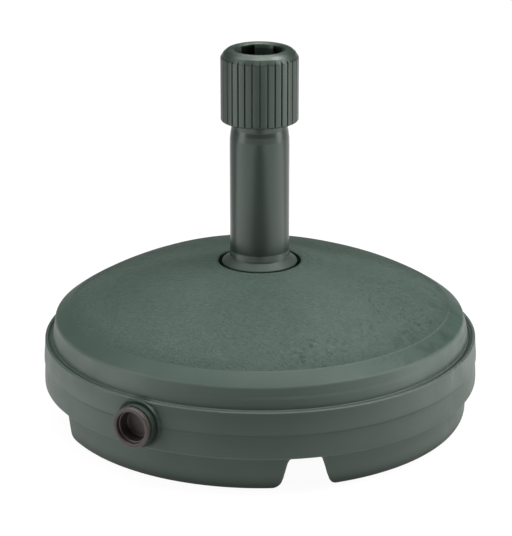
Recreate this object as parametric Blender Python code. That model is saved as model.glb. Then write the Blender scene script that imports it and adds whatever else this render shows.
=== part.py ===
"""Fillable base for a garden umbrella: hollow tank, stem, clamp nut, collet and filler plug.

Metres, +Z up. The origin is on the stem's axis at floor level. The filler plug faces -Y.
"""
import math

import bmesh
import bpy

for old in list(bpy.data.objects):
    bpy.data.objects.remove(old, do_unlink=True)

MM = 0.001
TAU = 2.0 * math.pi

# ---------------------------------------------------------------- sizes, in millimetres
TANK_R = 225.0           # band radius: the base is 450 mm across
WALL = 3.6               # tank wall
FLOOR_Z = 5.0            # top of the socket's floor
SOCKET_R = 30.6          # blind socket for the stem
WELL_Z = 151.0           # floor of the well round the stem's foot
PARTING_Z = 63.0         # mould parting line, and the filler's axis

TANK_SEG = 72
CAVITY_SEG = 48

# Openings through the foot ring: the angle from the filler, seen from above, and how much
# wider each side is than a finger notch. The wide one takes a whole hand.
NOTCHES = ((43.0, 0.0), (137.0, 0.0), (223.0, 0.0), (307.2, 47.0))
NOTCH_IN_R = 166.0       # inside the foot ring, so that a notch goes right through it
NOTCH_OUT_R = 240.0

KEY_COUNT = 4            # ribs on the spigot, in grooves of the socket
KEY_H = 2.0
KEY_W = 5.0

FILLER_Y = -233.0        # face of the filler boss
FILLER_PITCH = 4.0

CLAMP_PITCH = 6.0        # clamp thread
CLAMP_ROOT = 27.5
CLAMP_CREST = 28.8
CLAMP_GAP = 1.0          # play between the clamp's two threads
CLAMP_SEG = 40
COLLET_SEG = 56

NUT_RIBS = 32
NUT_R = 39.5
NUT_GROOVE = 1.5         # depth of the grooves between the ribs
NUT_PHASE = -1.8
FINGER_PHASE = 19.4      # degrees, middle of a collet finger
FINGER_HALF = 24.5       # half the angle a finger covers


# ---------------------------------------------------------------- materials
def material(name, colour, roughness):
    mat = bpy.data.materials.new(name)
    mat.use_nodes = True
    shader = mat.node_tree.nodes["Principled BSDF"]
    shader.inputs["Base Color"].default_value = (colour[0], colour[1], colour[2], 1.0)
    shader.inputs["Roughness"].default_value = roughness
    return mat


TANK_GREEN = material("tank_green", (0.105, 0.140, 0.120), 0.55)
STEM_GREEN = material("stem_green", (0.075, 0.098, 0.088), 0.35)
NUT_GREEN = material("nut_green", (0.080, 0.105, 0.090), 0.38)
COLLET_GREEN = material("collet_green", (0.060, 0.080, 0.068), 0.45)
PLUG_BROWN = material("plug_brown", (0.110, 0.080, 0.070), 0.45)
SEAL_BLACK = material("seal_black", (0.025, 0.025, 0.025), 0.70)
STOP_BLACK = material("stop_black", (0.040, 0.042, 0.042), 0.60)


# ---------------------------------------------------------------- mesh helpers
def make_object(name, verts, faces, mat=None):
    """One mesh object from points in millimetres."""
    mesh = bpy.data.meshes.new(name)
    mesh.from_pydata([(x * MM, y * MM, z * MM) for x, y, z in verts], [], faces)
    mesh.update()
    bm = bmesh.new()
    bm.from_mesh(mesh)
    bmesh.ops.recalc_face_normals(bm, faces=bm.faces)
    bm.to_mesh(mesh)
    bm.free()
    obj = bpy.data.objects.new(name, mesh)
    bpy.context.scene.collection.objects.link(obj)
    if mat is not None:
        mesh.materials.append(mat)
    return obj


def skin(rings, closed):
    """Faces over a stack of rings. A ring may be one point, or half its neighbour's points."""
    verts = []
    starts = []
    for ring in rings:
        starts.append(len(verts))
        verts.extend(ring)
    faces = []
    count = len(rings)
    last = count if closed else count - 1
    for i in range(last):
        j = (i + 1) % count
        a, b = starts[i], starts[j]
        na, nb = len(rings[i]), len(rings[j])
        n = max(na, nb)
        for k in range(n):
            m = (k + 1) % n
            if na == 1:
                faces.append((a, b + k, b + m))
            elif nb == 1:
                faces.append((a + k, a + m, b))
            elif na == nb:
                faces.append((a + k, a + m, b + m, b + k))
            elif k % 2 == 0:
                few, many = (a, b) if na < nb else (b, a)
                j0, j1 = few + k // 2, few + (k // 2 + 1) % (n // 2)
                faces.append((j0, many + k, many + k + 1))
                faces.append((j0, many + k + 1, j1))
                faces.append((j1, many + k + 1, many + (k + 2) % n))
    return verts, faces


def circle(r, z, segments):
    """Points round the Z axis. r is a number or a function of the angle."""
    if not callable(r) and r == 0.0:
        return [(0.0, 0.0, z)]
    ring = []
    for k in range(segments):
        a = TAU * k / segments
        radius = r(a) if callable(r) else r
        ring.append((radius * math.cos(a), radius * math.sin(a), z))
    return ring


def turned(name, profile, segments, mat=None, closed=True, half_below=0.0):
    """Solid of revolution. A profile that starts and ends on the axis is not closed.

    Rings smaller than half_below take half the segments.
    """
    rings = []
    for r, z in profile:
        few = not callable(r) and r < half_below
        rings.append(circle(r, z, segments // 2 if few else segments))
    verts, faces = skin(rings, closed)
    return make_object(name, verts, faces, mat)


def to_filler(obj):
    """Place a piece made along +Z on the filler's axis, so that its +Z faces out along -Y."""
    obj.location = (0.0, FILLER_Y * MM, PARTING_Z * MM)
    obj.rotation_euler = (math.radians(90.0), 0.0, 0.0)
    return obj


def hide_cutter(obj):
    obj.hide_render = True
    obj.display_type = "WIRE"


def cut(target, cutter, operation="DIFFERENCE"):
    """Apply one exact boolean to the target's mesh."""
    hide_cutter(cutter)
    mod = target.modifiers.new("cut", "BOOLEAN")
    mod.operation = operation
    mod.solver = "EXACT"
    mod.object = cutter
    bpy.context.view_layer.update()
    graph = bpy.context.evaluated_depsgraph_get()
    mesh = bpy.data.meshes.new_from_object(target.evaluated_get(graph))
    target.modifiers.remove(mod)
    old = target.data
    target.data = mesh
    mesh.name = target.name
    bpy.data.meshes.remove(old)
    bpy.data.objects.remove(cutter, do_unlink=True)


def tidy(obj, angle=35.0):
    """Merge doubled points, then shade smooth with sharp edges kept."""
    bm = bmesh.new()
    bm.from_mesh(obj.data)
    bmesh.ops.remove_doubles(bm, verts=bm.verts, dist=0.00002)
    bmesh.ops.dissolve_degenerate(bm, edges=bm.edges, dist=0.00001)
    for face in bm.faces:
        face.smooth = True
    limit = math.radians(angle)
    for edge in bm.edges:
        if len(edge.link_faces) == 2:
            edge.smooth = edge.calc_face_angle(0.0) < limit
    bm.to_mesh(obj.data)
    bm.free()


def thread(root, crest, pitch, low, high, inner):
    """Radius of a right-hand thread as a function of height, giving a function of the angle.

    The thread runs out at both ends: to its root on a screw, to its crest in a bore.
    """
    def at(z):
        fade = max(0.0, min(1.0, 2.0 * (z - low) / pitch, 2.0 * (high - z) / pitch))

        def radius(a):
            t = (z / pitch - a / TAU) % 1.0
            wave = min(1.0, max(0.0, 1.6 - abs(t - 0.5) * 5.0))
            part = 1.0 - (1.0 - wave) * fade if inner else wave * fade
            return root + (crest - root) * part
        return radius
    return at


def thread_rings(root, crest, pitch, low, high, step, inner=False):
    """Profile entries for a threaded stretch, bottom to top."""
    at = thread(root, crest, pitch, low, high, inner)
    count = int(round((high - low) / step))
    return [(at(low + i * step), low + i * step) for i in range(count + 1)]


def prism(name, outline, depth_low, depth_high, place):
    """Extrude an outline of (u, v) points between two depths; place maps (u, v, d) to x, y, z."""
    n = len(outline)
    verts = [place(u, v, depth_low) for u, v in outline]
    verts += [place(u, v, depth_high) for u, v in outline]
    faces = [tuple(range(n)), tuple(range(2 * n - 1, n - 1, -1))]
    for k in range(n):
        m = (k + 1) % n
        faces.append((k, m, n + m, n + k))
    return make_object(name, verts, faces)


# ---------------------------------------------------------------- tank
def tank_outline():
    """Outer profile, from the middle of the socket's floor round to the underside's middle."""
    socket = [(0.0, FLOOR_Z), (SOCKET_R, FLOOR_Z), (SOCKET_R, WELL_Z)]
    well = [(41.6, WELL_Z), (42.6, 162.6), (43.2, 164.6), (44.6, 165.4)]
    dome = [
        (67.5, 163.2), (94.5, 159.4), (121.5, 152.9), (148.5, 142.9), (171.0, 132.7),
        (189.0, 123.1), (202.0, 115.2), (208.8, 110.4), (212.2, 106.4),
    ]
    ledge = [(215.7, 87.2), (217.4, 85.5), (220.6, 86.4), (223.2, 86.9), (224.6, 86.1)]
    band = [(TANK_R, 84.2), (TANK_R, PARTING_Z), (TANK_R, 43.6), (223.8, 40.4), (221.0, 39.2)]
    plinth = [(216.4, 38.8), (215.4, 37.2), (214.8, 10.4), (213.2, 5.0), (209.8, 1.6), (205.0, 0.0)]
    foot = [(193.0, 0.0), (188.6, 1.4), (186.4, 5.0), (184.6, 33.0), (180.6, 37.0)]
    under = [(46.0, 37.0), (41.6, 34.0), (38.4, 3.0), (36.4, 0.0), (0.0, 0.0)]
    return socket + well + dome + ledge + band + plinth + foot + under


def cavity_outline():
    """Inside of the tank, one wall in from the outer profile."""
    tube = [(37.0, 40.8), (37.0, 147.2), (46.2, 147.6), (46.4, 161.4)]
    dome = [
        (67.3, 159.6), (107.0, 153.0), (147.2, 139.6), (178.0, 125.0), (200.0, 112.2),
        (208.0, 104.6),
    ]
    band = [(212.6, 83.4), (221.0, 81.4), (221.4, 45.4), (219.6, 42.6)]
    plinth = [(212.4, 42.2), (211.4, 11.0), (204.8, 3.8)]
    foot = [(193.6, 3.8), (189.9, 6.6), (188.3, 34.6), (183.4, 40.8)]
    return tube + dome + band + plinth + foot


def notch_outline(grow, wider):
    """Half-width of a notch by height, wide at the foot and rounded at the top."""
    side = [(-2.0, 36.0), (0.0, 32.4), (1.8, 28.4), (4.8, 25.2), (10.0, 22.2),
            (29.0, 17.0), (32.6, 15.2), (34.4, 13.2), (35.0, 10.4)]
    right = [(w + wider + grow, z + (grow if z > 20.0 else 0.0)) for z, w in side]
    left = [(-u, v) for u, v in reversed(right)]
    return right + left


def notch_cutter(name, angle, wider, grow):
    """Block for one notch, at an angle from the filler."""
    a = math.radians(angle - 90.0)
    ca, sa = math.cos(a), math.sin(a)

    def place(u, v, d):
        return (d * ca - u * sa, d * sa + u * ca, v)
    return prism(name, notch_outline(grow, wider), NOTCH_IN_R - grow, NOTCH_OUT_R, place)


def filler_boss():
    """Short boss on the band, with a flared root, made along its own axis."""
    outline = [(0.0, 0.0), (19.9, 0.0), (20.6, 0.7), (20.9, 4.0), (21.8, 6.6), (23.4, 8.6),
               (23.4, 13.4), (0.0, 13.4)]
    boss = turned("boss", [(r, -z) for r, z in outline], 36, closed=False)
    return to_filler(boss)


def filler_bore():
    """The threaded way in through the boss, made along its own axis."""
    turn = thread_rings(17.45, 18.35, FILLER_PITCH, -12.0, -2.0, 1.25, True)
    rings = [(0.0, -16.0), (18.4, -16.0)] + turn + [(18.5, -1.2), (19.2, 1.0), (0.0, 1.0)]
    bore = turned("bore", rings, 36, closed=False)
    return to_filler(bore)


def key_outline(width, radius):
    half = 0.5 * width
    return [(-half, 20.0), (half, 20.0), (half, radius), (-half, radius)]


def key_block(name, index, width, radius, low, high):
    """Upright block for a spigot key or its groove."""
    a = math.radians(45.0 + index * 360.0 / KEY_COUNT)
    ca, sa = math.cos(a), math.sin(a)

    def place(u, v, d):
        return (v * ca - u * sa, v * sa + u * ca, d)
    return prism(name, key_outline(width, radius), low, high, place)


def build_tank():
    tank = turned("tank_body", tank_outline(), TANK_SEG, TANK_GREEN, False, half_below=60.0)
    cut(tank, filler_boss(), "UNION")
    for index in range(KEY_COUNT):
        cut(tank, key_block("groove", index, KEY_W + 1.0, SOCKET_R + KEY_H + 0.6, 96.0, 156.0))
    cavity = turned("cavity", cavity_outline(), CAVITY_SEG, half_below=60.0)
    for angle, wider in NOTCHES:
        cut(cavity, notch_cutter("notch_wall", angle, wider, WALL))
    cut(tank, cavity)
    for angle, wider in NOTCHES:
        cut(tank, notch_cutter("notch", angle, wider, 0.0))
    cut(tank, filler_bore())
    tidy(tank)
    return tank


# ---------------------------------------------------------------- stem
def stem_outline():
    spigot = [(26.2, 5.6), (29.0, 5.6), (30.0, 7.6), (30.0, 151.3)]
    foot = [(36.6, 151.3), (37.4, 152.4), (37.4, 165.2), (36.8, 166.2), (31.5, 170.5),
            (30.4, 172.8), (30.0, 176.5)]
    tube = [(30.0, 292.0), (29.9, 297.0), (29.55, 301.0), (29.1, 304.4), (28.8, 307.4),
            (28.8, 317.0), (CLAMP_ROOT, 319.0)]
    clamp = thread_rings(CLAMP_ROOT, CLAMP_CREST, CLAMP_PITCH, 321.0, 351.0, 2.0)
    top = [(CLAMP_ROOT, 366.8), (26.6, 368.0), (25.2, 368.0), (24.6, 367.2)]
    inside = [(24.6, 9.6), (26.2, 9.6)]
    return spigot + foot + tube + clamp + top + inside


def build_stem():
    stem = turned("stem_tube", stem_outline(), CLAMP_SEG, STEM_GREEN)
    for index in range(KEY_COUNT):
        cut(stem, key_block("key", index, KEY_W, SOCKET_R - 0.6 + KEY_H, 100.0, 148.0), "UNION")
    cut(stem, turned("stem_bore", [(0.0, 50.0), (24.6, 50.0), (24.6, 200.0), (0.0, 200.0)],
                     CLAMP_SEG, closed=False))
    tidy(stem)
    return stem


def build_stop():
    outline = [(0.0, 5.9), (25.2, 5.9), (25.9, 6.6), (25.9, 9.3), (24.2, 9.3), (23.6, 8.7),
               (0.0, 8.7)]
    stop = turned("pole_stop", outline, CLAMP_SEG, STOP_BLACK, closed=False)
    tidy(stop)
    return stop


# ---------------------------------------------------------------- collet
def build_collet():
    outline = [
        (22.9, 338.6), (23.7, 338.0), (24.25, 339.0), (24.25, 368.3), (27.2, 368.3),
        (27.4, 369.0), (27.8, 375.4), (24.7, 383.2), (24.1, 384.3), (24.1, 387.6), (23.8, 388.1),
        (23.4, 388.0), (22.6, 384.8), (22.6, 374.0), (22.9, 371.0),
    ]
    collet = turned("collet", outline, COLLET_SEG, COLLET_GREEN)
    for index in range(4):
        middle = math.radians(FINGER_PHASE + 45.0 + 90.0 * index)
        half = math.radians(45.0 - FINGER_HALF)
        corners = [(0.0, 0.0)]
        for side in (-1.0, -0.5, 0.0, 0.5, 1.0):
            a = middle + side * half
            corners.append((40.0 * math.cos(a), 40.0 * math.sin(a)))
        gap = prism("gap", corners, 350.0, 395.0, lambda u, v, d: (u, v, d))
        cut(collet, gap)
    tidy(collet)
    return collet


# ---------------------------------------------------------------- clamp nut
def nut_ring(radius, depth, z):
    """One level of the nut: ribs with a slightly rounded face and narrow grooves between."""
    step = 360.0 / NUT_RIBS
    spots = ((0.0, 1.0), (0.13, 0.1), (0.5, -0.06), (0.87, 0.1))
    if depth == 0.0:
        spots = ((0.0, 0.0), (0.5, 0.0))
    ring = []
    for k in range(NUT_RIBS):
        for place, drop in spots:
            a = math.radians(NUT_PHASE + (k + place) * step)
            r = radius - depth * drop
            ring.append((r * math.cos(a), r * math.sin(a), z))
    return ring


def build_nut():
    levels = [
        (36.8, 0.0, 315.3), (38.6, 0.7, 316.0), (NUT_R, NUT_GROOVE, 318.0),
        (NUT_R, NUT_GROOVE, 380.4), (39.0, 0.5, 382.4), (37.6, 0.0, 384.4), (35.0, 0.0, 386.9),
        (32.6, 0.0, 388.6), (29.4, 0.0, 389.5), (26.6, 0.0, 388.9),
    ]
    rings = [[(0.0, 0.0, 315.3)]]
    rings += [nut_ring(radius, depth, z) for radius, depth, z in levels]
    rings += [[(0.0, 0.0, 388.9)]]
    verts, faces = skin(rings, False)
    nut = make_object("clamp_nut", verts, faces, NUT_GREEN)
    gap = CLAMP_GAP
    turn = thread_rings(CLAMP_ROOT + gap, CLAMP_CREST + gap, CLAMP_PITCH, 331.0, 353.0, 2.0, True)
    inside = [(0.0, 314.0), (31.6, 314.0), (30.8, 316.4), (29.9, 329.4)]
    cone = [(29.6, 354.0), (29.4, 371.6), (28.7, 374.6), (25.2, 384.3), (24.6, 384.9),
            (24.6, 387.4), (26.2, 390.6), (0.0, 390.6)]
    cut(nut, turned("nut_bore", inside + turn + cone, CLAMP_SEG, closed=False))
    tidy(nut, 28.0)
    return nut


# ---------------------------------------------------------------- filler plug
def build_plug():
    """Cupped plug, made along its own axis with the boss's face at height 0."""
    turn = thread_rings(16.9, 17.9, FILLER_PITCH, -12.0, -2.0, 1.25)
    shank = [(0.0, -12.6), (15.8, -12.6), (16.6, -12.2)] + turn + [(16.9, -1.2), (16.9, 2.3)]
    flange = [(20.0, 2.3), (20.7, 2.9), (20.8, 5.8), (20.3, 6.7), (19.3, 7.0), (17.0, 7.0),
              (16.3, 6.6), (16.1, 3.0)]
    cup = [(14.9, 2.6), (14.3, -8.6), (13.6, -9.2), (0.0, -9.2)]
    plug = turned("filler_plug", shank + flange + cup, 36, PLUG_BROWN, closed=False)
    to_filler(plug)
    tidy(plug)
    return plug


def build_gasket():
    outline = [(17.2, 0.3), (19.4, 0.3), (19.7, 0.8), (19.7, 1.5), (19.4, 2.0), (17.2, 2.0)]
    gasket = turned("plug_gasket", outline, 36, SEAL_BLACK)
    to_filler(gasket)
    tidy(gasket)
    return gasket


build_tank()
build_stem()
build_stop()
build_collet()
build_nut()
build_plug()
build_gasket()
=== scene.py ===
import math

import bmesh
import bpy
import numpy as np
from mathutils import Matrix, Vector


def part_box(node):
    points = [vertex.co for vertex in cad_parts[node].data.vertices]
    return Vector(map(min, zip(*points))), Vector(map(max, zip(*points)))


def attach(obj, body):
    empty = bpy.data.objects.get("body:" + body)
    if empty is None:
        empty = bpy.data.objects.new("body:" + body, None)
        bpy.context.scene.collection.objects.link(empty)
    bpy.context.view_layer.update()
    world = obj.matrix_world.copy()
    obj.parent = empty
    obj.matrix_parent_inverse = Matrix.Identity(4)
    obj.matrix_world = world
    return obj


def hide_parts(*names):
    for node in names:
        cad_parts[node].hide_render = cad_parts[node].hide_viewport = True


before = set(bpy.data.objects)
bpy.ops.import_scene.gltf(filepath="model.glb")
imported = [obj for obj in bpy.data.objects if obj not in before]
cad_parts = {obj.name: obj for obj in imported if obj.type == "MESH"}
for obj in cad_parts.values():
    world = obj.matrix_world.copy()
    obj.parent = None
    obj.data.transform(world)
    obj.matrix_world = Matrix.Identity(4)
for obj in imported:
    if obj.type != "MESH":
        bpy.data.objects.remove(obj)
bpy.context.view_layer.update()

MM = 0.001
TAU = 2.0 * math.pi

# Where the CAD pieces are: these boxes are in metres, the lengths after them in millimetres.
tank_low, tank_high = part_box("tank_body")
stem_low, stem_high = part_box("stem_tube")
nut_low, nut_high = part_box("clamp_nut")
plug_low, plug_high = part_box("filler_plug")
seal_low, seal_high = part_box("plug_gasket")
stop_low, stop_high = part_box("pole_stop")

TANK_R = tank_high[0] / MM
BOSS_Y = tank_low[1] / MM
NUT_Z0, NUT_Z1 = nut_low[2] / MM, nut_high[2] / MM
NUT_R = nut_high[0] / MM
STEM_Z0, STEM_Z1 = stem_low[2] / MM, stem_high[2] / MM
FILLER_Z = 0.5 * (plug_low[2] + plug_high[2]) / MM

# Openings through the foot ring: angle from the filler, seen from above, and how much wider
# each side is than a finger notch.
NOTCHES = ((43.5, 0.0), (137.0, 0.0), (223.0, 0.0), (307.2, 47.0))
NOTCH_REACH = 1.2        # radians to each side of a notch within which it is looked for
WIDE_REACH = 32.0        # degrees to each side of the wide opening that take its own rounding
NUT_RIBS = 32
NUT_PHASE = -1.8         # degrees from +X to the first groove
FINGER_PHASE = 19.4      # degrees from +X to the middle of the first collet finger
FINGER_HALF = 24.5       # degrees from its middle to its side

CAMERA_AZIMUTH = 31.4    # degrees from straight in front of the filler, towards +X
CAMERA_PITCH = 19.17     # degrees downwards
CAMERA_AWAY, CAMERA_HEIGHT = 2.2533, 0.9391   # metres from the axis and above the floor
CAMERA_LENS = 154.4776   # millimetres, on a sensor 36 mm wide
CAMERA_SHIFT = -0.0067164
OUT_OF_TRUE = math.radians(CAMERA_AZIMUTH)   # direction in which the blown tank is out of true

# Level directions used for marks: the side that is scuffed, and the side that is far and shaded.
SCUFFED_SIDE = (0.955, 0.296)
FAR_SIDE = (-0.521, 0.854)

# How brightly the floor glows: round the object, out in front, and added at either side, where the glow is
# painted light standing in for lamps.
FLOOR_WHITE, FLOOR_FRONT, FLOOR_LEFT, FLOOR_RIGHT = 0.955, 0.66, 1.60, 1.76


# ------------------------------------------------------------------ small maths
def smooth(x):
    """Smooth step of 0..1, on numbers or arrays."""
    x = np.clip(x, 0.0, 1.0)
    return x * x * (3.0 - 2.0 * x)


def spline(xs, ys, x):
    """Monotone cubic through points, for smooth profiles."""
    xs, ys = np.asarray(xs, float), np.asarray(ys, float)
    h = np.diff(xs)
    d = np.diff(ys) / h
    m = np.zeros(len(xs))
    m[0], m[-1] = d[0], d[-1]
    for i in range(1, len(xs) - 1):
        if d[i - 1] * d[i] > 0:
            w1, w2 = 2 * h[i] + h[i - 1], h[i] + 2 * h[i - 1]
            m[i] = (w1 + w2) / (w1 / d[i - 1] + w2 / d[i])
    k = np.clip(np.searchsorted(xs, x) - 1, 0, len(h) - 1)
    t = (x - xs[k]) / h[k]
    return ((2 * t**3 - 3 * t**2 + 1) * ys[k] + (t**3 - 2 * t**2 + t) * h[k] * m[k]
            + (-2 * t**3 + 3 * t**2) * ys[k + 1] + (t**3 - t**2) * h[k] * m[k + 1])


def path(corners, step=3.0, arc=5):
    """Polyline of (a, b, fillet radius) corners turned into points with rounded corners."""
    pts = []
    count = len(corners)
    for i, corner in enumerate(corners):
        p = np.array(corner[:2], float)
        radius = corner[2] if len(corner) > 2 else 0.0
        if radius <= 0.0 or i in (0, count - 1):
            pts.append(p)
            continue
        before = np.array(corners[i - 1][:2], float) - p
        after = np.array(corners[i + 1][:2], float) - p
        lb, la = np.linalg.norm(before), np.linalg.norm(after)
        before, after = before / lb, after / la
        half = 0.5 * math.acos(max(-1.0, min(1.0, float(before @ after))))
        if half < 0.05 or half > 1.56:
            pts.append(p)
            continue
        run = min(radius / math.tan(half), 0.48 * lb, 0.48 * la)
        rad = run * math.tan(half)
        middle = p + (before + after) / np.linalg.norm(before + after) * (rad / math.sin(half))
        start, end = p + before * run - middle, p + after * run - middle
        a0 = math.atan2(start[1], start[0])
        turn = (math.atan2(end[1], end[0]) - a0 + math.pi) % TAU - math.pi
        for j in range(arc + 1):
            a = a0 + turn * j / arc
            pts.append(middle + rad * np.array((math.cos(a), math.sin(a))))
    out = [pts[0]]
    for p in pts[1:]:
        gap = np.linalg.norm(p - out[-1])
        if gap < 1e-4:
            continue
        parts = max(1, int(math.ceil(gap / step)))
        start = out[-1]
        for j in range(1, parts + 1):
            out.append(start + (p - start) * j / parts)
    return [(float(a), float(b)) for a, b in out]


def resample(points, count):
    """The same polyline with a fixed number of points, evenly spaced along it."""
    pts = np.array(points)
    run = np.concatenate([[0.0], np.cumsum(np.linalg.norm(np.diff(pts, axis=0), axis=1))])
    at = np.linspace(0.0, run[-1], count)
    return np.stack([np.interp(at, run, pts[:, 0]), np.interp(at, run, pts[:, 1])], 1)


# ------------------------------------------------------------------ mesh makers
def link(name, verts, faces, sharp=None):
    """A mesh object from millimetre points, shaded smooth."""
    mesh = bpy.data.meshes.new(name)
    mesh.from_pydata((np.asarray(verts, float) * MM).tolist(), [], faces)
    mesh.update()
    obj = bpy.data.objects.new(name, mesh)
    bpy.context.scene.collection.objects.link(obj)
    bm = bmesh.new()
    bm.from_mesh(mesh)
    bmesh.ops.remove_doubles(bm, verts=bm.verts, dist=1e-7)
    bmesh.ops.recalc_face_normals(bm, faces=bm.faces)
    bm.to_mesh(mesh)
    bm.free()
    mesh.shade_smooth()
    if sharp is not None:
        mesh.set_sharp_from_angle(angle=math.radians(sharp))
    return obj


def grid_faces(rings, closed):
    """Quads over rings given as lists of vertex numbers; a ring of one is a pole."""
    faces = []
    pairs = list(zip(rings[:-1], rings[1:]))
    if closed:
        pairs.append((rings[-1], rings[0]))
    for low, high in pairs:
        n = max(len(low), len(high))
        for k in range(n):
            m = (k + 1) % n
            if len(low) == 1:
                faces.append((low[0], high[k], high[m]))
            elif len(high) == 1:
                faces.append((low[k], low[m], high[0]))
            else:
                faces.append((low[k], low[m], high[m], high[k]))
    return faces


def lathe(name, rings, angles, closed, sharp=None, place=None):
    """Turned mesh. Each ring is (r, z), where either may be an array over the angles."""
    verts, rows = [], []
    ca, sa = np.cos(angles), np.sin(angles)
    for r, z in rings:
        if np.isscalar(r) and r == 0.0:
            rows.append([len(verts)])
            verts.append((0.0, 0.0, float(z)))
            continue
        rr = np.broadcast_to(np.asarray(r, float), angles.shape)
        zz = np.broadcast_to(np.asarray(z, float), angles.shape)
        rows.append(list(range(len(verts), len(verts) + len(angles))))
        verts.extend(np.stack([rr * ca, rr * sa, zz], 1).tolist())
    if place is not None:
        verts = [place(*v) for v in verts]
    return link(name, verts, grid_faces(rows, closed), sharp)


def around(count):
    """Evenly spaced angles round the circle, from +X."""
    return np.arange(count) * TAU / count


def thread_ring(z, angles, root, crest, pitch, low, high, inner=False):
    """Radius of a right-hand thread at one height; it runs out to root, or to crest in a bore."""
    fade = max(0.0, min(1.0, 2.0 * (z - low) / pitch, 2.0 * (high - z) / pitch))
    t = (z / pitch - angles / TAU) % 1.0
    wave = smooth(np.clip(1.6 - np.abs(t - 0.5) * 5.0, 0.0, 1.0))
    part = 1.0 - (1.0 - wave) * fade if inner else wave * fade
    return root + (crest - root) * part


def exact_cut(target, cutter):
    """Takes one mesh out of another and removes it."""
    mod = target.modifiers.new("cut", "BOOLEAN")
    mod.operation = "DIFFERENCE"
    mod.solver = "EXACT"
    mod.object = cutter
    bpy.context.view_layer.update()
    graph = bpy.context.evaluated_depsgraph_get()
    mesh = bpy.data.meshes.new_from_object(target.evaluated_get(graph))
    target.modifiers.remove(mod)
    target.data = mesh
    bpy.data.objects.remove(cutter, do_unlink=True)


# ------------------------------------------------------------------ materials
class Nodes:
    """Short hand for building one Principled material from nodes."""

    def __init__(self, name, roughness, specular=0.5):
        self.mat = bpy.data.materials.new(name)
        self.mat.use_nodes = True
        self.tree = self.mat.node_tree
        self.shader = self.tree.nodes["Principled BSDF"]
        self.shader.inputs["Roughness"].default_value = roughness
        self.shader.inputs["Specular IOR Level"].default_value = specular
        self.coords = self.add("ShaderNodeTexCoord").outputs["Object"]

    def add(self, kind, **values):
        node = self.tree.nodes.new(kind)
        for key, value in values.items():
            setattr(node, key, value)
        return node

    def join(self, source, target):
        """Links a socket, or sets a plain value."""
        if hasattr(source, "links"):
            self.tree.links.new(source, target)
        else:
            target.default_value = source

    def noise(self, scale, detail=4.0, rough=0.5, stretch=None, seed=0.0):
        """Cloudy noise, moved along by its seed."""
        place = self.add("ShaderNodeMapping")
        self.join(self.coords, place.inputs["Vector"])
        place.inputs["Location"].default_value = (seed, seed * 0.37, -seed * 0.71)
        if stretch:
            place.inputs["Scale"].default_value = stretch
        node = self.add("ShaderNodeTexNoise")
        self.join(place.outputs[0], node.inputs["Vector"])
        node.inputs["Scale"].default_value = scale
        node.inputs["Detail"].default_value = detail
        node.inputs["Roughness"].default_value = rough
        return node.outputs["Fac"]

    def cells(self, scale, smoothness):
        """Rounded cells, for pebbled grain."""
        node = self.add("ShaderNodeTexVoronoi", feature="SMOOTH_F1")
        self.join(self.coords, node.inputs["Vector"])
        node.inputs["Scale"].default_value = scale
        node.inputs["Smoothness"].default_value = smoothness
        return node.outputs["Distance"]

    def ramp(self, value, low, high, out_low=0.0, out_high=1.0):
        """Smooth step from one output to the other as the value goes from low to high."""
        node = self.add("ShaderNodeMapRange", interpolation_type="SMOOTHSTEP")
        self.join(value, node.inputs["Value"])
        for key, number in (("From Min", low), ("From Max", high),
                            ("To Min", out_low), ("To Max", out_high)):
            node.inputs[key].default_value = number
        return node.outputs["Result"]

    def sums(self, operation, a, b=0.0):
        node = self.add("ShaderNodeMath", operation=operation)
        self.join(a, node.inputs[0])
        self.join(b, node.inputs[1])
        return node.outputs[0]

    def times(self, first, *others):
        for other in others:
            first = self.sums("MULTIPLY", first, other)
        return first

    def apart(self, a, b):
        """How far one value is from another."""
        return self.sums("ABSOLUTE", self.sums("SUBTRACT", a, b))

    def length(self, a, b):
        return self.sums("SQRT", self.sums("ADD", self.times(a, a), self.times(b, b)))

    def blend(self, factor, a, b):
        """Mixes two colours."""
        node = self.add("ShaderNodeMix", data_type="RGBA")
        self.join(factor, node.inputs["Factor"])
        for value, socket in ((a, node.inputs["A"]), (b, node.inputs["B"])):
            if hasattr(value, "links"):
                self.tree.links.new(value, socket)
            else:
                socket.default_value = (*value, 1.0)
        return node.outputs["Result"]

    def parts(self):
        node = self.add("ShaderNodeSeparateXYZ")
        self.join(self.coords, node.inputs[0])
        return node.outputs["X"], node.outputs["Y"], node.outputs["Z"]

    def radius(self):
        """Distance from the Z axis, in metres."""
        x, y, _ = self.parts()
        return self.length(x, y)

    def along(self, direction):
        """Distance from the Z axis along a level direction, in metres."""
        x, y, _ = self.parts()
        return self.sums("ADD", self.times(x, direction[0]), self.times(y, direction[1]))

    def bump(self, height, strength, distance, under=None):
        node = self.add("ShaderNodeBump")
        self.join(height, node.inputs["Height"])
        self.join(strength, node.inputs["Strength"])
        node.inputs["Distance"].default_value = distance
        if under is not None:
            self.join(under, node.inputs["Normal"])
        return node.outputs["Normal"]

    def finish(self, colour=None, roughness=None, normal=None):
        for value, key in ((colour, "Base Color"), (roughness, "Roughness"), (normal, "Normal")):
            if value is not None:
                self.join(value, self.shader.inputs[key])
        return self.mat


class TankPlaces:
    """Where a point of the tank lies, as values for the masks of its material."""

    def __init__(self, n):
        self.x, self.y, self.z = n.parts()
        self.radius = n.radius()
        self.scuffed = n.along(SCUFFED_SIDE)
        self.far = n.along(FAR_SIDE)
        self.top = n.ramp(self.z, 0.1075, 0.1095)
        self.dome = n.times(self.top, n.ramp(self.radius, 0.1985, 0.1955))
        from_filler = n.length(self.x, n.sums("SUBTRACT", self.z, FILLER_Z * MM))
        self.boss = n.times(n.ramp(from_filler, 0.0215, 0.0275, 1.0, 0.0),
                            n.ramp(self.y, -0.20, -0.18, 1.0, 0.0))


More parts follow.
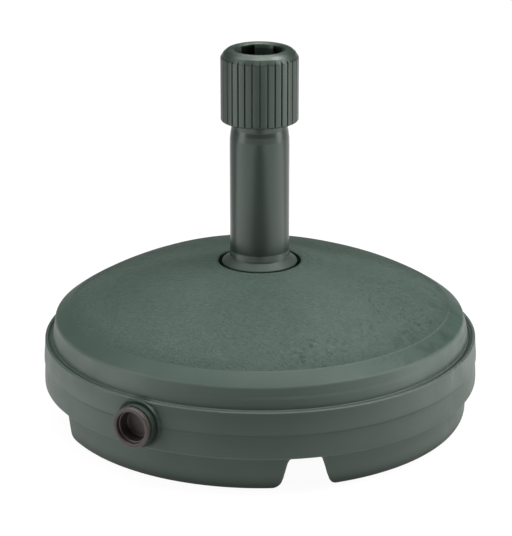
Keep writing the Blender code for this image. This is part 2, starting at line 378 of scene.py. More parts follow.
def dome_colour(n, at):
    """Two greens in broad clouds, with a fine mottle and pale specks."""
    cloud = n.ramp(n.noise(5.0, 4.0, 0.55), 0.3, 0.7)
    colour = n.blend(cloud, (0.043, 0.067, 0.055), (0.051, 0.075, 0.063))
    mottle = n.ramp(n.noise(210.0, 5.0, 0.75, seed=5.0), 0.30, 0.70)
    colour = n.blend(n.times(mottle, at.dome, 0.55), colour, (0.020, 0.034, 0.027))
    speck = n.ramp(n.noise(420.0, 3.0, 0.7, seed=5.5), 0.56, 0.70)
    return n.blend(n.times(speck, at.dome, 0.30), colour, (0.110, 0.135, 0.122))


def wall_colour(n, at):
    """Faint upright clouds, a dark parting line, a rubbed top edge, and shade round the filler."""
    cloud = n.ramp(n.noise(7.0, 3.0, 0.5, stretch=(1.0, 1.0, 2.4), seed=2.0), 0.3, 0.7)
    colour = n.blend(cloud, (0.042, 0.060, 0.050), (0.048, 0.067, 0.057))
    seam = n.ramp(n.apart(at.z, FILLER_Z * MM), 0.0004, 0.0016, 0.30, 0.0)
    colour = n.blend(seam, colour, (0.012, 0.018, 0.015))
    rub = n.ramp(n.noise(150.0, 6.0, 0.75, seed=11.0), 0.54, 0.62)
    at_edge = n.ramp(n.apart(at.z, 0.083), 0.002, 0.016, 1.0, 0.0)
    on_side = n.ramp(at.scuffed, 0.19, 0.215)
    colour = n.blend(n.times(rub, at_edge, on_side, 0.5), colour, (0.150, 0.150, 0.125))
    return n.blend(n.times(at.boss, 0.62), colour, (0.010, 0.016, 0.013))


def dome_marks_and_shade(n, at, colour):
    """Painted shade at the far side, and the scuffs, smudges and dull bloom of the handled side."""
    # Painted shade: darker towards the far side of the dome.
    far = n.times(n.ramp(at.far, 0.015, 0.07, 0.0, 0.72), at.dome)
    colour = n.blend(far, colour, (0.014, 0.024, 0.019))
    smudge = n.times(n.ramp(n.noise(55.0, 6.0, 0.75, seed=13.0), 0.50, 0.60),
                     n.ramp(at.radius, 0.168, 0.186), n.ramp(at.scuffed, 0.13, 0.17), at.top)
    colour = n.blend(n.times(smudge, 0.55), colour, (0.016, 0.030, 0.024))
    patch = n.times(n.ramp(n.noise(13.0, 3.0, 0.6, seed=1.5), 0.42, 0.56),
                    n.ramp(at.scuffed, 0.03, 0.10), at.dome)
    bloom = n.ramp(n.noise(120.0, 5.0, 0.75, seed=12.0), 0.54, 0.66)
    colour = n.blend(n.times(bloom, patch, 0.34), colour, (0.085, 0.100, 0.090))
    scuff = n.ramp(n.noise(190.0, 6.0, 0.8, stretch=(1.0, 1.0, 0.5), seed=7.0), 0.54, 0.62)
    colour = n.blend(n.times(scuff, patch, 0.85), colour, (0.010, 0.016, 0.013))
    border = n.times(at.top, n.ramp(at.radius, 0.178, 0.201, 0.0, 0.46))
    colour = n.blend(border, colour, (0.020, 0.034, 0.027))
    line = n.times(n.ramp(n.apart(at.radius, 0.1970), 0.0002, 0.0010, 0.22, 0.0), at.top,
                   n.ramp(at.scuffed, -0.02, 0.08), n.ramp(at.far, -0.06, 0.01, 1.0, 0.0))
    return n.blend(line, colour, (0.120, 0.135, 0.125))


def wall_marks_and_shade(n, at, colour):
    """Darkening in the gap behind the band, dust at the foot, painted contact shadow along the foot's
    lowest edge, and painted shade under each edge.
    """
    # Darker in the gap behind the band, most of all on the handled side.
    gap = n.times(n.ramp(at.radius, 0.2172, 0.2180), n.ramp(at.radius, 0.2200, 0.2208, 1.0, 0.0),
                  n.ramp(at.scuffed, 0.02, 0.16, 0.25, 1.0),
                  n.ramp(n.apart(at.z, 0.0856), 0.0014, 0.0022, 0.85, 0.0))
    colour = n.blend(gap, colour, (0.010, 0.015, 0.012))
    dust = n.times(n.ramp(at.z, 0.0, 0.030, 0.30, 0.0), n.noise(40.0, 5.0, 0.6, seed=9.0))
    colour = n.blend(dust, colour, (0.075, 0.080, 0.070))
    for edge, above, start, full, depth in ((0.0850, 0.0862, 0.0660, 0.0830, 0.34),
                                            (0.0630, 0.0640, 0.0400, 0.0630, 0.26)):
        shade = n.times(n.ramp(at.z, edge, above, 1.0, 0.0), n.ramp(at.z, start, full, 0.0, depth))
        colour = n.blend(shade, colour, (0.020, 0.030, 0.025))
    # Painted contact shadow: near black over the lowest 13 mm of the foot, fading out upwards.
    return n.blend(n.ramp(at.z, 0.0, 0.0130, 0.92, 0.0), colour, (0.004, 0.005, 0.004))


def tank_relief(n, at):
    """Pebbled grain on the dome, worn flat in patches, over a faint ripple and a fine skin."""
    ripple = n.bump(n.noise(16.0, 2.0, 0.4, stretch=(1.0, 1.0, 1.8), seed=6.0), 0.22, 0.0022)
    skin = n.bump(n.noise(700.0, 2.0, 0.5, seed=8.0), 0.10, 0.0003, ripple)
    grain = n.sums("ADD", n.cells(520.0, 0.35), n.times(n.cells(300.0, 0.4), 0.7))
    worn = n.ramp(n.noise(9.0, 5.0, 0.6, seed=3.0), 0.36, 0.62, 0.55, 1.0)
    pebbles = n.bump(grain, n.times(at.dome, worn, 0.8), 0.0011, skin)
    return n.bump(n.ramp(at.radius, 0.1964, 0.1974), 0.35, 0.0006, pebbles)


def tank_material():
    """Green blow-moulded plastic with a pebbled dome and smooth walls, marked by handling, and with painted
    shade at the far side, round the filler, under the edges and along the foot.
    """
    n = Nodes("tank_plastic", 0.5)
    n.shader.inputs["Specular Tint"].default_value = (0.92, 1.0, 0.95, 1.0)
    at = TankPlaces(n)
    colour = n.blend(at.top, wall_colour(n, at), dome_colour(n, at))
    colour = wall_marks_and_shade(n, at, dome_marks_and_shade(n, at, colour))
    shine = n.times(n.ramp(at.z, 0.002, 0.020, 0.03, 0.44), n.ramp(at.top, 0.0, 1.0, 1.0, 0.41),
                    n.ramp(at.boss, 0.0, 1.0, 1.0, 0.3))
    n.join(shine, n.shader.inputs["Specular IOR Level"])
    rough = n.sums("ADD", n.ramp(at.dome, 0.0, 1.0, 0.48, 0.60),
                   n.ramp(n.noise(26.0, 5.0, 0.6, seed=4.0), 0.3, 0.7, -0.05, 0.06))
    return n.finish(colour, rough, tank_relief(n, at))


def satin_material(name, low, high, roughness, specular=0.5, dull_below=None, painted_light_above=None):
    """Smooth moulded plastic with faint clouds in its colour and its polish.

    Below and above the two heights, where they are given, it is duller or paler; the paler top is painted
    light.
    """
    n = Nodes(name, roughness, specular)
    n.shader.inputs["Specular Tint"].default_value = (0.88, 1.0, 0.92, 1.0)
    cloud = n.noise(38.0, 4.0, 0.55, stretch=(1.0, 1.0, 0.5), seed=1.0)
    colour = n.blend(n.ramp(cloud, 0.3, 0.7), low, high)
    rough = n.ramp(n.noise(26.0, 4.0, 0.6, stretch=(1.0, 1.0, 0.6), seed=2.0), 0.3, 0.7,
                   roughness - 0.02, roughness + 0.03)
    if dull_below is not None:
        _, _, z = n.parts()
        flare = n.ramp(z, dull_below - 0.002, dull_below + 0.002, 1.0, 0.0)
        n.join(n.ramp(flare, 0.0, 1.0, specular, 0.22), n.shader.inputs["Specular IOR Level"])
        rough = n.sums("ADD", rough, n.times(flare, 0.22))
        colour = n.blend(n.times(flare, 0.8), colour, (0.040, 0.053, 0.045))
    if painted_light_above is not None:
        # Painted light: above this height the colour is made paler, as on a top lit from above.
        _, _, z = n.parts()
        slope = n.ramp(z, painted_light_above - 0.0008, painted_light_above + 0.0008)
        colour = n.blend(slope, colour, (0.018, 0.027, 0.021))
    normal = n.bump(n.noise(420.0, 3.0, 0.5, seed=3.0), 0.04, 0.0002)
    return n.finish(colour, rough, normal)


def plug_material():
    """Brown moulded plastic."""
    n = Nodes("plug_plastic", 0.42)
    colour = n.blend(n.ramp(n.noise(90.0, 4.0, 0.6), 0.35, 0.7),
                     (0.030, 0.021, 0.018), (0.042, 0.031, 0.027))
    rough = n.ramp(n.noise(140.0, 4.0, 0.6, seed=2.0), 0.3, 0.7, 0.36, 0.50)
    normal = n.bump(n.noise(500.0, 3.0, 0.5, seed=3.0), 0.12, 0.0002)
    return n.finish(colour, rough, normal)


def rubber_material():
    """Black rubber."""
    n = Nodes("seal_rubber", 0.7, 0.35)
    colour = n.blend(n.noise(200.0, 4.0), (0.018, 0.018, 0.018), (0.034, 0.033, 0.032))
    return n.finish(colour, None, n.bump(n.noise(900.0, 2.0), 0.15, 0.0002))


def glowing_floor_material():
    """Floor under the object that glows white by itself, brighter out at both sides as painted light, and
    dimmer out in front.
    """
    n = Nodes("floor_glow", 0.95, 0.0)
    colour = n.blend(n.noise(3.0, 2.0), (0.058, 0.058, 0.058), (0.062, 0.062, 0.062))
    x, y, _ = n.parts()
    out_from = n.times(y, 0.105)
    right = n.times(n.ramp(n.sums("SUBTRACT", x, out_from), 0.28, 0.56, 0.0, FLOOR_RIGHT),
                    n.ramp(y, 0.08, 0.36, 1.0, 0.0))
    leftwards = n.sums("SUBTRACT", n.times(x, -1.0), out_from)
    left = n.times(n.ramp(leftwards, 0.28, 0.56, 0.0, FLOOR_LEFT), n.ramp(y, 0.0, 0.25, 1.0, -0.25))
    forwards = n.times(y, -1.0)
    ahead = n.times(n.ramp(forwards, 0.34, 0.52, FLOOR_WHITE, FLOOR_FRONT),
                    n.ramp(forwards, 0.58, 0.86, 1.0, 0.95))
    # The side glow is painted light: the floor stands in for lamps at either side.
    glow = n.sums("ADD", ahead, n.sums("ADD", right, left))
    n.shader.inputs["Emission Color"].default_value = (1.0, 1.0, 1.0, 1.0)
    n.join(glow, n.shader.inputs["Emission Strength"])
    return n.finish(colour)


# ------------------------------------------------------------------ tank
DOME = ((44.6, 165.35), (67.5, 163.2), (94.5, 159.4), (121.5, 153.2), (148.5, 143.0),
        (171.0, 132.8), (189.0, 123.2), (202.5, 115.0), (208.0, 111.2))
FOOT_ROWS = 76
EDGE_ROUND = 4.5         # rounding of the foot ring's upright edges at a finger notch,
WIDE_ROUND = 8.0         # at the wide opening,
INNER_ROUND = 2.0        # and on the ring's inner side
SOCKET_R = 30.6
KEY_FADE = 0.9           # degrees over which the side of a key or of its groove falls away


def dome_points():
    """Top of the tank from the well's rim out to the rounded edge."""
    r = np.concatenate([np.linspace(44.6, 56.0, 6), np.linspace(56.6, 59.4, 9)[:-1],
                        np.linspace(60.0, 208.0, 60)])
    z = spline([p[0] for p in DOME], [p[1] for p in DOME], r)
    raised = 0.45 * (1.0 - smooth((r - 57.0) / 1.8))
    fade = smooth((r - 44.0) / 3.0)
    return [(float(a), float(b)) for a, b in zip(r, z + raised * fade)]


def upper_profile():
    """Section from the bottom of the socket up, over the dome and down to the foot ring."""
    socket = path([(SOCKET_R, 5.0), (SOCKET_R, 151.0)], 8.0)
    well = path([(SOCKET_R, 151.0), (41.8, 151.0, 1.2), (42.7, 165.0, 1.4), (44.6, 165.35)], 3.0, 5)
    edge = path([(208.0, 111.2), (212.6, 107.7, 5.0), (213.2, 103.0), (215.5, 88.4)], 1.6, 8)
    ledge = path([(215.5, 88.4), (215.8, 86.3, 0.7), (217.6, 85.9, 0.5), (218.2, 84.9, 0.3),
                  (219.6, 84.9, 0.5), (220.7, 86.8, 0.9), (223.6, 86.7, 1.2), (223.8, 83.0)], 0.8, 5)
    band = path([(223.8, 83.0), (223.9, 80.0), (224.4, 74.0), (224.85, 68.5), (225.0, 65.5, 3.0),
                 (224.95, FILLER_Z + 0.5, 0.5), (224.3, FILLER_Z - 0.4, 0.5), (224.3, 58.0, 3.0),
                 (224.8, 49.0), (225.0, 44.0), (224.9, 38.2, 2.2), (217.6, 37.4)], 1.6, 7)
    return socket + well[1:] + dome_points()[1:] + edge[1:] + ledge[1:] + band[1:]


def foot_profiles():
    """Section of the foot ring away from a notch and in the middle of one, point for point."""
    foot = path([(217.6, 37.4), (215.9, 37.0, 1.0), (214.5, 0.0, 11.0), (186.2, 0.0, 6.0),
                 (184.4, 36.9, 3.5), (178.0, 36.9)], 1.0, 12)
    open_roof = path([(217.6, 37.4), (215.9, 37.0, 0.4), (213.6, 35.2, 1.8), (184.4, 35.2, 3.0),
                      (181.0, 36.9, 2.0), (178.0, 36.9)], 1.0, 5)
    return resample(foot, FOOT_ROWS), resample(open_roof, FOOT_ROWS)


def notch_half_width(z):
    """Half the width of a notch by height, with its corners rounded off."""
    return np.interp(z, [0.0, 0.6, 1.8, 3.6, 6.5, 10.0, 16.0, 29.0, 32.0, 34.0, 35.5, 38.0],
                     [38.0, 32.0, 28.8, 26.0, 23.8, 22.3, 20.3, 17.0, 15.4, 13.4, 10.6, 5.0])


def notch_columns():
    """Angles from the filler, in degrees, close together where a notch's sides lie."""
    cols = set(float(k) for k in range(360))
    for middle, wider in NOTCHES:
        for side in (-1.0, 1.0):
            for u in np.arange(wider + 5.0, wider + 47.0, 0.5):
                cols.add(round((middle + side * math.degrees(math.asin(u / 205.0))) % 360.0, 4))
    return np.array(sorted(cols))


def notch_distance(degrees, r):
    """How far each point of a circle lies from the middle of a notch, whose sides are parallel."""
    out = np.full(len(degrees), 1e9)
    for middle, wider in NOTCHES:
        away = np.radians((degrees - middle + 180.0) % 360.0 - 180.0)
        here = np.abs(r * np.sin(away)) - wider - 3.0 * float(smooth((208.0 - r) / 16.0))
        out = np.where(np.abs(away) < NOTCH_REACH, np.minimum(out, here), out)
    return out


def out_of_round(angles):
    """The band bulges a little between the four sides."""
    return 1.05 * (1.0 + np.cos(angles - OUT_OF_TRUE)) * np.sin(2.0 * angles) ** 2


def at_keys(angles, half_width):
    """1 at each of the four keys, which lie between the axes, and 0 away from them."""
    away = np.abs(np.degrees(angles) % 90.0 - 45.0)
    return 1.0 - smooth((away - half_width) / KEY_FADE)


def dome_lean(r, angles):
    """The blown dome is not quite even: it sits a little lower at the back on one side."""
    lean = 1.3 * np.cos(angles - math.radians(205.0)) - 0.35
    lean = lean - 1.1 * np.maximum(0.0, np.cos(angles - math.radians(76.0))) ** 2
    return lean * smooth((r - 50.0) / 30.0) * (1.0 - smooth((r - 100.0) / 105.0))


def make_tank():
    """The whole shell as one skin: socket, dome, band, and the foot ring with its openings.

    Above the foot ring the columns are whole degrees. The foot ring has more of them at the
    sides of the openings, and the two are stitched together where they meet.
    """
    up = upper_profile()
    plain, notch = foot_profiles()
    fine = notch_columns()
    at_wide = np.abs((fine - NOTCHES[3][0] + 180.0) % 360.0 - 180.0) < WIDE_REACH
    whole = np.array([k for k in range(len(fine)) if abs(fine[k] - round(fine[k])) < 1e-9])
    a_up = np.radians(fine[whole] - 90.0)
    a_low = np.radians(fine - 90.0)
    verts, rows = [], []

    def add_ring(r, z, angles):
        rr = np.broadcast_to(np.asarray(r, float), angles.shape)
        zz = np.broadcast_to(np.asarray(z, float), angles.shape)
        rows.append(list(range(len(verts), len(verts) + len(angles))))
        verts.extend(np.stack([rr * np.cos(angles), rr * np.sin(angles), zz], 1).tolist())

    def stitch(coarse, dense):
        """Joins a ring of whole degrees to one with all the columns."""
        for k, start in enumerate(whole):
            end = whole[(k + 1) % len(whole)]
            stop = end if end > start else len(fine)
            between = [dense[j % len(fine)] for j in range(start, stop + 1)]
            faces.append((coarse[k], *between, coarse[(k + 1) % len(whole)]))

    verts.append((0.0, 0.0, 5.0))
    rows.append([0])
    groove = 2.6 * at_keys(a_up, 5.4)
    for r, z in up:
        if abs(r - SOCKET_R) < 1e-6 and z > 96.0:
            add_ring(r + groove, z, a_up)
        elif 44.0 < r < 214.0 and z > 110.0:
            add_ring(r, z + dome_lean(r, a_up), a_up)
        elif r > 214.0 and z > 37.2:
            add_ring(r + out_of_round(a_up), z, a_up)
        else:
            add_ring(r, z, a_up)
    faces = grid_faces(rows, False)
    last_up = rows[-1]
    first_low = len(rows)

    for i in range(FOOT_ROWS):
        r, z = plain[i]
        u = notch_distance(fine, r)
        width = notch_half_width(z)
        part = 1.0 - smooth((u - (width - 1.2)) / 2.4)
        side = 1.0 if r > 200.0 else -1.0
        radius = np.where(at_wide, WIDE_ROUND, EDGE_ROUND) if side > 0.0 else INNER_ROUND
        back = np.clip(radius - (u - width), 0.0, radius)
        back = radius - np.sqrt(radius**2 - back**2)
        back = back * 0.9 * smooth((36.5 - z) / 4.0) * smooth((z - 0.5) / 4.0)
        aside = 1.1 * np.cos(a_low - OUT_OF_TRUE) * float(smooth((r - 196.0) / 16.0))
        add_ring((r - side * back) * (1.0 - part) + notch[i, 0] * part + aside,
                 z + (notch[i, 1] - z) * part, a_low)
    faces += grid_faces(rows[first_low:], False)
    stitch(last_up, rows[first_low])
    # Underside: back to whole degrees, then in to the middle.
    last_low = rows[-1]
    first_under = len(rows)
    under = path([(178.0, 36.9), (43.0, 36.9, 4.0), (38.2, 0.0, 2.0), (20.0, 0.0)], 12.0, 5)
    for r, z in under[1:]:
        add_ring(r, z, a_up)
    rows.append([len(verts)])
    verts.append((0.0, 0.0, 0.0))
    faces += grid_faces(rows[first_under:], False)
    stitch(rows[first_under], last_low)
    tank = link("tank_skin", verts, faces)
    pocket = lathe("pocket", [(0.0, -30.0), (19.6, -30.0), (19.6, 8.0), (0.0, 8.0)], around(48),
                   False, place=filler_place)
    exact_cut(tank, pocket)
    tank.data.shade_smooth()
    tank.data.set_sharp_from_angle(angle=math.radians(50.0))
    return tank


def filler_place(x, y, z):
    """From the filler's own axis, with +z out of the boss's face, to the row frame."""
    return (x, BOSS_Y - z, y + FILLER_Z)


def make_boss():
    """The filler's boss: a flared root that follows the band, a rounded mouth and a threaded way in."""
    angles = around(160)
    flare = [(25.6, -0.45), (24.6, -0.05), (23.5, 0.28), (22.6, 0.8), (21.9, 1.6), (21.5, 2.6),
             (21.25, 3.8), (21.1, 5.2), (21.0, 6.4), (20.85, 7.2), (20.5, 7.75), (20.0, 8.0)]
    squeeze = 1.0 - 0.075 * np.abs(np.sin(angles)) ** 3
    rings = [(24.0, -6.0)]
    for r, h in flare:
        close = 1.0 - smooth(h / 6.0)
        rr = r * (1.0 + (squeeze - 1.0) * close)
        across = rr * np.cos(angles)
        wall = np.sqrt(np.maximum(0.0, (TANK_R - 0.4) ** 2 - across**2)) - TANK_R
        rings.append((rr, wall * close + h - 8.0))
    rings += [(19.3, -0.05), (18.75, -0.35), (18.5, -1.2)]
    for z in np.arange(-1.9, -12.3, -0.5):
        rings.append((thread_ring(z, angles, 17.45, 18.35, 4.0, -12.0, -2.0, True), z))
    rings += [(18.4, -13.0), (18.4, -21.0), (19.4, -21.5), (19.4, -6.5)]
    return lathe("filler_boss_skin", rings, angles, True, 60.0, filler_place)


# ------------------------------------------------------------------ stem, collet, nut
def make_stem():
    """Spigot with four keys, flared foot, tube, narrow neck and the clamp's thread."""
    angles = around(240)
    key = 2.0 * at_keys(angles, 4.3)
    outer = path([(26.2, STEM_Z0), (28.6, STEM_Z0, 0.4), (30.0, 7.8, 1.0), (30.0, 150.9)], 6.0, 3)
    foot = path([(30.0, 151.2), (36.9, 151.2, 0.6), (37.4, 152.4, 0.5), (37.5, 161.5, 3.0),
                 (39.0, 164.2, 0.8), (38.7, 165.2, 0.7), (31.4, 171.0, 2.6), (30.45, 178.0, 6.0),
                 (30.45, 186.0)], 1.4, 7)
    tube = path([(30.45, 186.0), (30.5, 288.0, 20.0), (30.3, 297.0, 12.0), (29.6, 303.0, 8.0),
                 (28.8, 308.0, 8.0), (28.75, 317.2, 0.8), (27.5, 318.6, 0.8), (27.5, 320.6)], 4.0, 5)
    rings = []
    for r, z in outer:
        if abs(r - 30.0) < 1e-6 and z > 8.0:
            rise = float(smooth((z - 98.0) / 4.0) * (1.0 - smooth((z - 146.0) / 3.0)))
            rings.append((r + key * rise, z))
        else:
            rings.append((r, z))
    rings += foot + tube[1:]
    for z in np.arange(321.0, 351.2, 0.5):
        rings.append((thread_ring(z, angles, 27.5, 28.8, 6.0, 321.0, 351.0), float(z)))
    rings += path([(27.5, 352.0), (27.5, STEM_Z1 - 0.2, 1.0), (24.9, STEM_Z1, 0.6), (24.6, 360.0)], 4.0, 4)
    rings += path([(24.6, 358.0), (24.6, 9.6), (26.2, 9.6)], 20.0)
    return lathe("stem_skin", rings, angles, True, 50.0)


def make_stop():
    """Cap in the lower end of the stem, with a shallow dish that the pole stands on."""
    low, high = stop_low[2] / MM, stop_high[2] / MM
    rings = [(0.0, low)]
    rings += path([(3.0, low), (25.2, low, 0.5), (25.9, low + 0.7, 0.3), (25.9, high, 0.4),
                   (24.2, high, 0.3), (23.6, high - 0.6, 0.3), (9.0, high - 0.6), (8.6, high - 1.0),
                   (2.0, high - 1.0)], 4.0, 3)
    rings += [(0.0, high - 1.0)]
    return lathe("pole_stop_skin", rings, around(96), False, 40.0)


def finger_section():
    """Section of one finger from its root in the sleeve to its wedge head and tip."""
    return path([(22.9, 349.0), (22.9, 371.0, 2.0), (22.6, 374.0, 2.0), (22.6, 384.3, 0.8),
                 (23.5, 387.9, 0.35), (24.05, 388.0, 0.3), (24.1, 384.4, 0.8), (27.75, 375.4, 1.4),
                 (27.3, 368.6, 0.6), (24.3, 368.4, 0.6), (24.25, 349.0)], 6.0, 3)


def make_collet():
    """Sleeve with four fingers. Each finger's section is swept round, drawn in at both ends."""
    verts, faces = [], []
    section = np.array(finger_section())
    middle = section.mean(0)
    n = len(section)
    for index in range(4):
        centre = FINGER_PHASE + 90.0 * index
        steps = [-FINGER_HALF, -FINGER_HALF + 0.25, -FINGER_HALF + 0.8, -FINGER_HALF + 1.6]
        steps += list(np.linspace(-FINGER_HALF + 3.0, FINGER_HALF - 3.0, 20))
        steps += [FINGER_HALF - 1.6, FINGER_HALF - 0.8, FINGER_HALF - 0.25, FINGER_HALF]
        inset = [0.55, 0.22, 0.06, 0.0] + [0.0] * 20 + [0.0, 0.06, 0.22, 0.55]
        starts = []
        for step, pull in zip(steps, inset):
            a = math.radians(centre + step)
            starts.append(len(verts))
            for r, z in section:
                direction = np.array((middle[0] - r, 0.35 * (middle[1] - z)))
                length = max(1e-6, float(np.linalg.norm(direction)))
                r2 = r + direction[0] / length * pull
                z2 = z + direction[1] / length * pull
                if z < 350.0:
                    z2 = z
                verts.append((r2 * math.cos(a), r2 * math.sin(a), z2))
        for s0, s1 in zip(starts[:-1], starts[1:]):
            for k in range(n):
                m = (k + 1) % n
                faces.append((s0 + k, s0 + m, s1 + m, s1 + k))
        faces.append(tuple(range(starts[0], starts[0] + n)))
        faces.append(tuple(range(starts[-1], starts[-1] + n))[::-1])
    fingers = link("collet_fingers", verts, faces, 45.0)
    rings = path([(23.2, 338.2), (24.0, 338.2, 0.5), (24.25, 339.4, 0.5), (24.25, 350.2, 0.4),
                  (22.9, 350.2, 0.4), (22.9, 338.8)], 4.0, 3)
    sleeve = lathe("collet_sleeve", rings, around(144), True, 45.0)
    return fingers, sleeve


def make_nut():
    """Long nut with narrow grooves between its ribs, a sloped top and a thread inside."""
    pitch = TAU * NUT_R / NUT_RIBS
    half = [0.0, 0.28, 0.45, 0.62, 0.80, 1.00, 1.30, 1.90, 2.90]
    offsets = np.array(half + [0.5 * pitch] + [pitch - v for v in half[:0:-1]])
    angles = (np.arange(NUT_RIBS)[:, None] * pitch + offsets[None, :]).ravel() / NUT_R
    angles = angles + math.radians(NUT_PHASE)
    across = np.tile(np.minimum(offsets, pitch - offsets), NUT_RIBS)
    groove = 1.8 * (1.0 - smooth((across - 0.26) / 0.62)) + 0.16 * (1.0 - smooth(across / 2.2))
    rings = []
    outer = path([(31.6, NUT_Z0), (37.6, NUT_Z0, 0.4), (39.0, NUT_Z0 + 0.3, 0.5), (39.6, NUT_Z0 + 1.2, 0.8),
                  (39.6, 380.6, 0.8), (36.5, 385.5, 1.5), (33.0, 388.4, 3.0), (29.4, NUT_Z1, 3.0),
                  (26.6, 388.9, 1.0), (24.7, 387.6, 0.8), (24.6, 385.0)], 3.0, 5)
    for r, z in outer:
        cut_in = smooth((z - NUT_Z0 - 0.2) / 1.6) * (1.0 - smooth((z - 380.6) / 1.8))
        rings.append((r - groove * cut_in, z))
    for r, z in path([(24.6, 385.0), (25.2, 384.3, 0.3), (28.7, 374.6, 0.6), (29.4, 371.6, 1.0),
                      (29.6, 354.0)], 5.0, 3)[1:]:
        rings.append((r, z))
    for z in np.arange(353.0, 330.4, -0.5):
        ring = thread_ring(z, angles, 28.5, 29.8, 6.0, 331.0, 353.0, True)
        rings.append((ring, float(z)))
    rings += path([(29.9, 329.4), (30.8, 316.8), (31.6, NUT_Z0 + 0.3)], 6.0)
    return lathe("clamp_nut_skin", rings, angles, True, 60.0)


# ------------------------------------------------------------------ filler plug
def make_plug():
    """Cupped screw plug, turned about the filler's axis."""
    angles = around(128)
    rings = [(0.0, -12.6)] + path([(3.0, -12.6), (15.8, -12.6, 0.3), (16.6, -12.2, 0.3)], 4.0, 3)
    for z in np.arange(-12.0, -1.9, 0.5):
        rings.append((thread_ring(z, angles, 16.9, 17.9, 4.0, -12.0, -2.0), float(z)))
    rings += path([(16.9, -1.4), (16.9, 2.3, 0.3), (20.0, 2.3, 0.4), (20.75, 2.9, 0.5),
                   (20.8, 6.0, 0.7), (20.1, 6.98, 0.6), (17.0, 6.98, 0.7), (16.3, 6.2, 0.5),
                   (16.1, 3.0, 0.2), (15.3, 2.75, 0.3), (14.9, 2.3, 0.3), (14.4, -7.9, 1.2),
                   (13.2, -9.1, 0.9), (3.0, -9.2)], 1.6, 4)
    rings += [(0.0, -9.2)]
    return lathe("filler_plug_skin", rings, angles, False, 50.0, filler_place)


def make_gasket():
    """Flat ring between the plug's flange and the boss."""
    low = (BOSS_Y * MM - seal_high[1]) / MM
    high = (BOSS_Y * MM - seal_low[1]) / MM
    rings = path([(18.3, low), (19.7, low, 0.6), (19.7, high, 0.6), (17.2, high, 0.3), (17.2, low, 0.3),
                  (18.3, low)], 1.0, 4)[:-1]
    return lathe("plug_gasket_skin", rings, around(96), True, 50.0, filler_place)


# ------------------------------------------------------------------ put it together
GREEN = tank_material()
STEM = satin_material("stem_plastic", (0.006, 0.012, 0.009), (0.008, 0.015, 0.011), 0.24, 0.46,
                      dull_below=0.1715)
NUT = satin_material("nut_plastic", (0.008, 0.014, 0.010), (0.012, 0.019, 0.014), 0.34, 0.50,
                     painted_light_above=0.3815)
COLLET = satin_material("collet_plastic", (0.017, 0.025, 0.020), (0.021, 0.030, 0.024), 0.42)
STOP = satin_material("stop_plastic", (0.034, 0.036, 0.036), (0.048, 0.050, 0.050), 0.60)
BROWN = plug_material()
RUBBER = rubber_material()


def finish_piece(obj, mat, body, slot, *nodes):
    """Gives a piece its material, the body it rides on and the CAD nodes it stands in for."""
    obj.data.materials.clear()
    obj.data.materials.append(mat)
    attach(obj, body)
    if nodes:
        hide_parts(*nodes)


finish_piece(make_tank(), GREEN, "base", "tank_green", "tank_body")
finish_piece(make_boss(), GREEN, "base", "tank_green")
finish_piece(make_stem(), STEM, "stem", "stem_green", "stem_tube")
finish_piece(make_stop(), STOP, "stem", "stop_black", "pole_stop")
collet_fingers, collet_sleeve = make_collet()
finish_piece(collet_fingers, COLLET, "collet", "collet_green", "collet")
finish_piece(collet_sleeve, COLLET, "collet", "collet_green")
finish_piece(make_nut(), NUT, "nut", "nut_green", "clamp_nut")
finish_piece(make_plug(), BROWN, "plug", "plug_brown", "filler_plug")
finish_piece(make_gasket(), RUBBER, "seal", "seal_black", "plug_gasket")


# ------------------------------------------------------------------ stage, lights, camera
def aim(obj, at):
    """Turns a light towards a point."""
    obj.rotation_euler = (Vector(at) - obj.location).to_track_quat("-Z", "Y").to_euler()


def spot(side, away, height):
    """A place given to the right of and towards the camera, from the axis."""
    a = math.radians(CAMERA_AZIMUTH)
    right = np.array((math.cos(a), math.sin(a)))
    front = np.array((math.sin(a), -math.cos(a)))
    x, y = right * side + front * away
    return (float(x), float(y), height)


def softbox(name, place, at, width, height, energy):
    """A white oblong light."""
    light = bpy.data.lights.new(name, "AREA")
    light.shape = "RECTANGLE"
    light.size, light.size_y = width, height
    light.energy = energy
    obj = bpy.data.objects.new(name, light)
    obj.location = place
    bpy.context.scene.collection.objects.link(obj)
    aim(obj, at)


floor_mesh = bpy.data.meshes.new("floor")
floor_mesh.from_pydata([(-12, -12, 0), (12, -12, 0), (12, 12, 0), (-12, 12, 0)], [], [(0, 1, 2, 3)])
floor = bpy.data.objects.new("floor", floor_mesh)
bpy.context.scene.collection.objects.link(floor)
floor.location.z = -0.0005
floor.rotation_euler.z = math.radians(CAMERA_AZIMUTH)
floor_mesh.materials.append(glowing_floor_material())

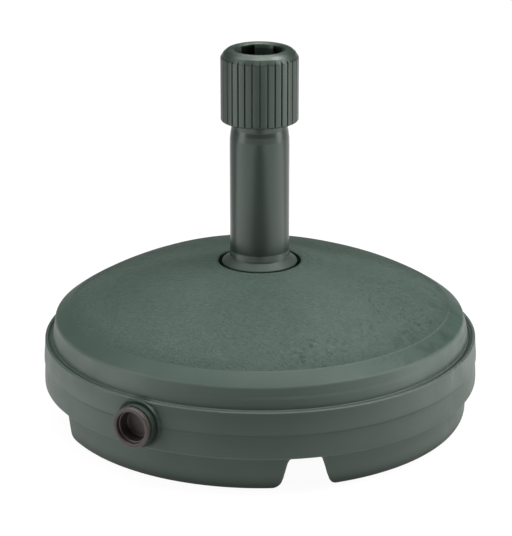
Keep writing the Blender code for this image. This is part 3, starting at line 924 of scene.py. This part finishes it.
# Each softbox: how far to the right, towards the camera and up, the height it is aimed at,
# its two sizes, and its power.
for name, side, away, up, at_height, width, tall, watts in (
        ("top_box", 0.0, 0.14, 2.4, 0.1, 0.95, 0.95, 25.0),
        ("front_top_box", 0.0, 1.3, 2.3, 0.1, 1.2, 1.2, 9.0),
        ("right_top_box", 1.3, 0.0, 2.3, 0.1, 1.2, 1.2, 61.0),
        ("left_top_box", -1.3, 0.0, 2.3, 0.1, 1.2, 1.2, 25.0),
        ("back_top_box", 0.0, -1.3, 2.3, 0.1, 1.2, 1.2, 19.0),
        ("left_box", -1.6, 0.55, 0.8, 0.2, 0.8, 1.5, 12.0),
        ("right_box", 1.7, 0.2, 0.8, 0.2, 0.9, 1.5, 15.5)):
    softbox(name, spot(side, away, up), (0.0, 0.0, at_height), width, tall, watts)

world = bpy.data.worlds.new("studio")
bpy.context.scene.world = world
world.use_nodes = True
sky = world.node_tree
background = sky.nodes["Background"]
background.inputs["Color"].default_value = (1.0, 1.0, 1.0, 1.0)
# Pale below and at the horizon, dark overhead, where only the softboxes shine.
direction = sky.nodes.new("ShaderNodeTexCoord")
up_down = sky.nodes.new("ShaderNodeSeparateXYZ")
fade = sky.nodes.new("ShaderNodeMapRange")
fade.interpolation_type = "SMOOTHSTEP"
sky.links.new(direction.outputs["Generated"], up_down.inputs[0])
sky.links.new(up_down.outputs["Z"], fade.inputs["Value"])
for key, number in (("From Min", 0.0), ("From Max", 0.10), ("To Min", 0.90), ("To Max", 0.01)):
    fade.inputs[key].default_value = number
sky.links.new(fade.outputs["Result"], background.inputs["Strength"])

camera_data = bpy.data.cameras.new("camera")
camera = bpy.data.objects.new("camera", camera_data)
bpy.context.scene.collection.objects.link(camera)
bpy.context.scene.camera = camera
camera_data.sensor_width = 36.0
camera_data.lens = CAMERA_LENS
camera_data.shift_x = CAMERA_SHIFT
camera.location = spot(0.0, CAMERA_AWAY, CAMERA_HEIGHT)
camera.rotation_euler = (math.radians(90.0 - CAMERA_PITCH), 0.0, math.radians(CAMERA_AZIMUTH))
camera_data.clip_start, camera_data.clip_end = 0.01, 60.0

bpy.context.scene.view_settings.view_transform = "Standard"
